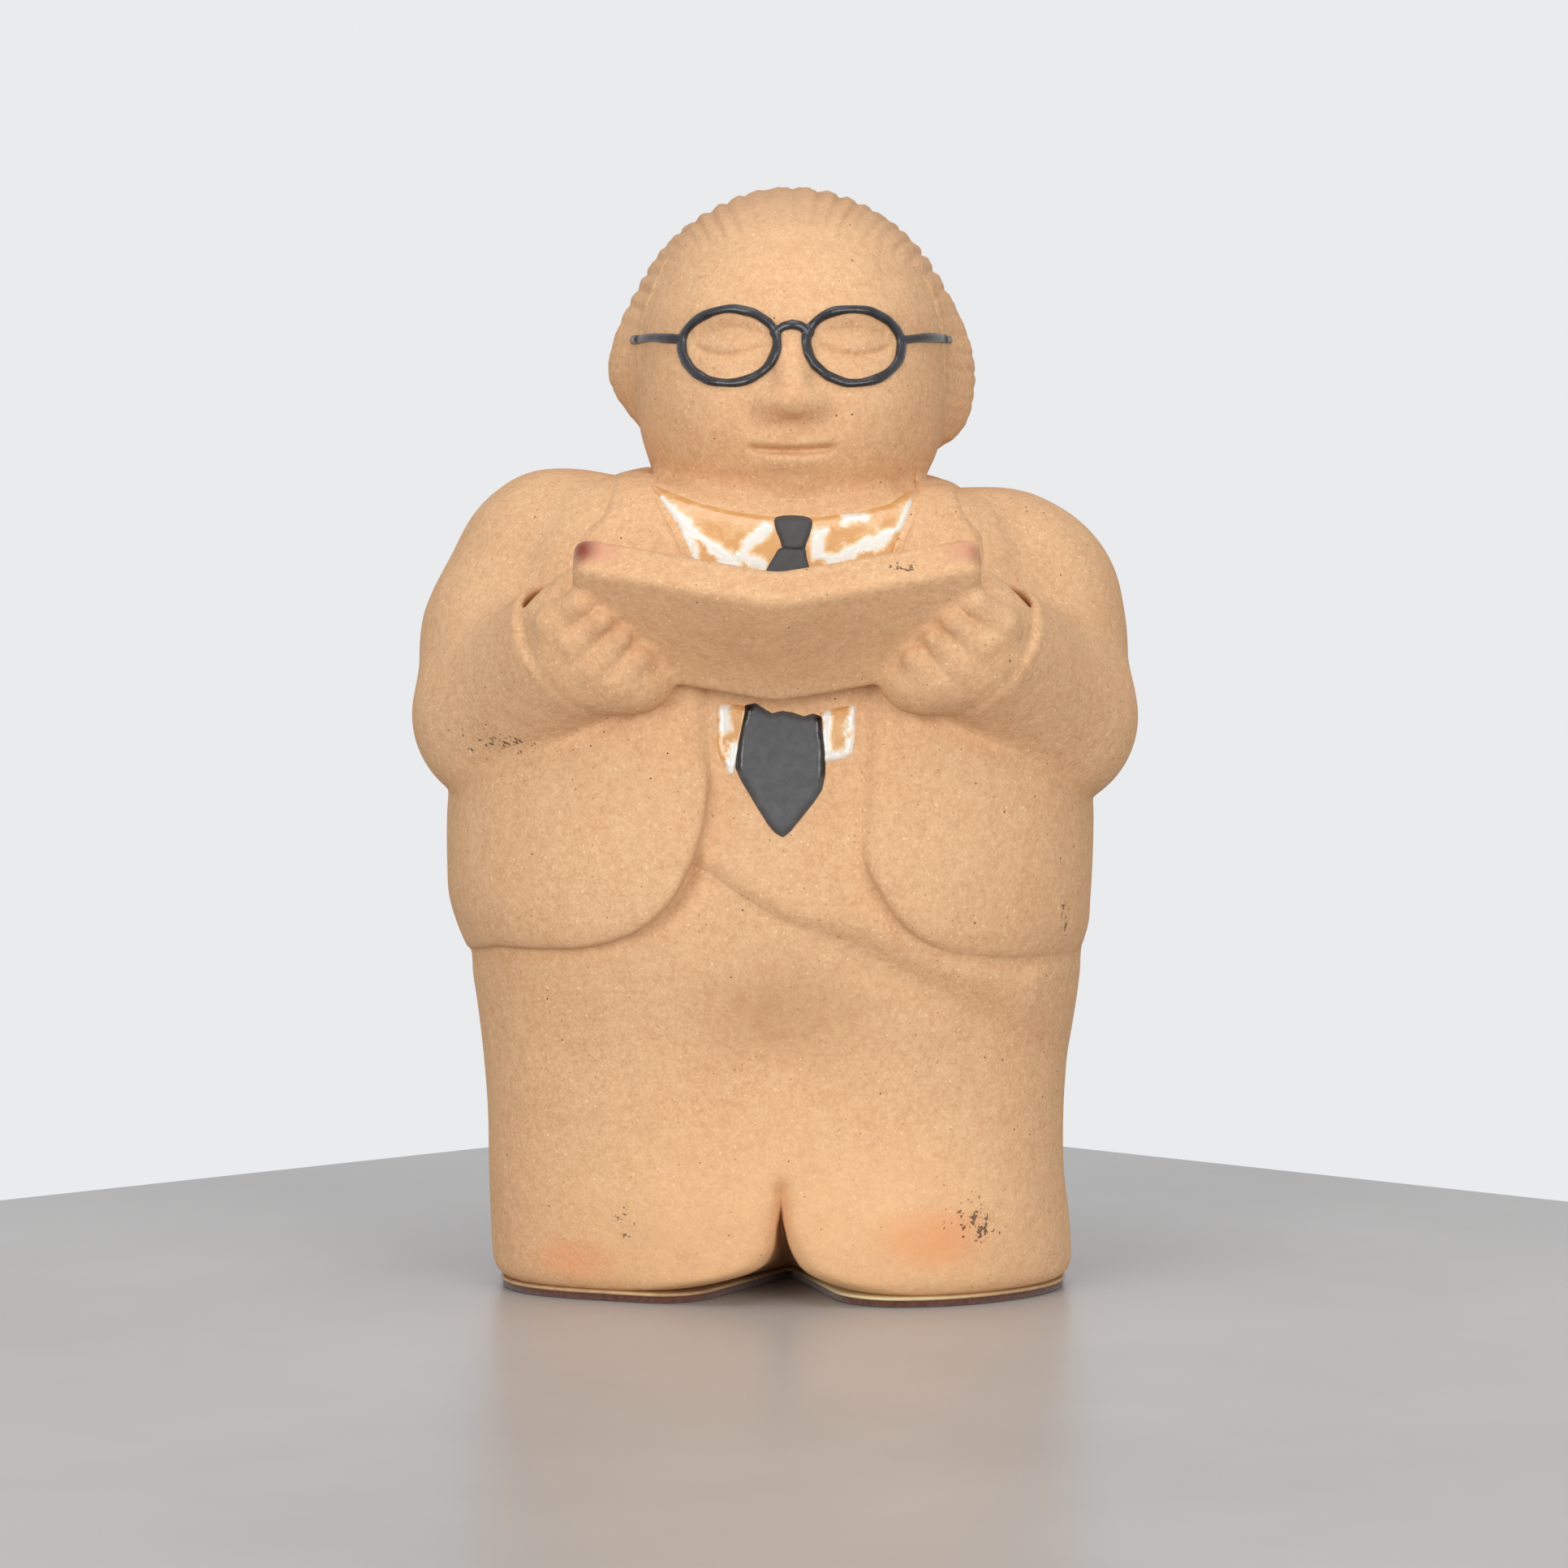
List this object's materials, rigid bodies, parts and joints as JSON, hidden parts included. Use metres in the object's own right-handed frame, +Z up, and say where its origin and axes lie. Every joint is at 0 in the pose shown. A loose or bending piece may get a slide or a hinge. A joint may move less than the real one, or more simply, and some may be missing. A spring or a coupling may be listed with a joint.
{
  "type": "stoneware figurine",
  "caption": "Stocky stoneware figurine of a man in a suit, standing and reading an open book, with glazed collar, tie and spectacles and a felt pad.",
  "frame": {"origin": "centre of the felt pad's underside, on the surface that the figurine stands on", "axes": "+Z up; the figure faces -Y; +X is to the viewer's right when the figure is seen from its front"},
  "size_m": [0.1222, 0.0916, 0.1803],
  "materials": {
    "stoneware": "matte",
    "shirt_glaze": "gloss",
    "tie_slip": "matte",
    "black_glaze": "gloss",
    "felt": "matte",
    "glue": "satin"
  },
  "bodies": {
    "root": {"base_felt": "felt", "glue_film": "glue", "trousers": "stoneware", "shirt": "stoneware", "jacket": "stoneware", "jacket_collar": "stoneware", "lapel_left": "stoneware", "lapel_right": "stoneware", "sleeve_left": "stoneware", "sleeve_right": "stoneware", "hand_left": "stoneware", "hand_right": "stoneware", "book": "stoneware", "head": "stoneware", "hair": "stoneware", "collar_left": "shirt_glaze", "collar_right": "shirt_glaze", "shirt_front_left": "shirt_glaze", "shirt_front_right": "shirt_glaze", "tie_knot": "tie_slip", "tie_blade": "tie_slip", "spectacles": "black_glaze"}
  },
  "joints": []
}
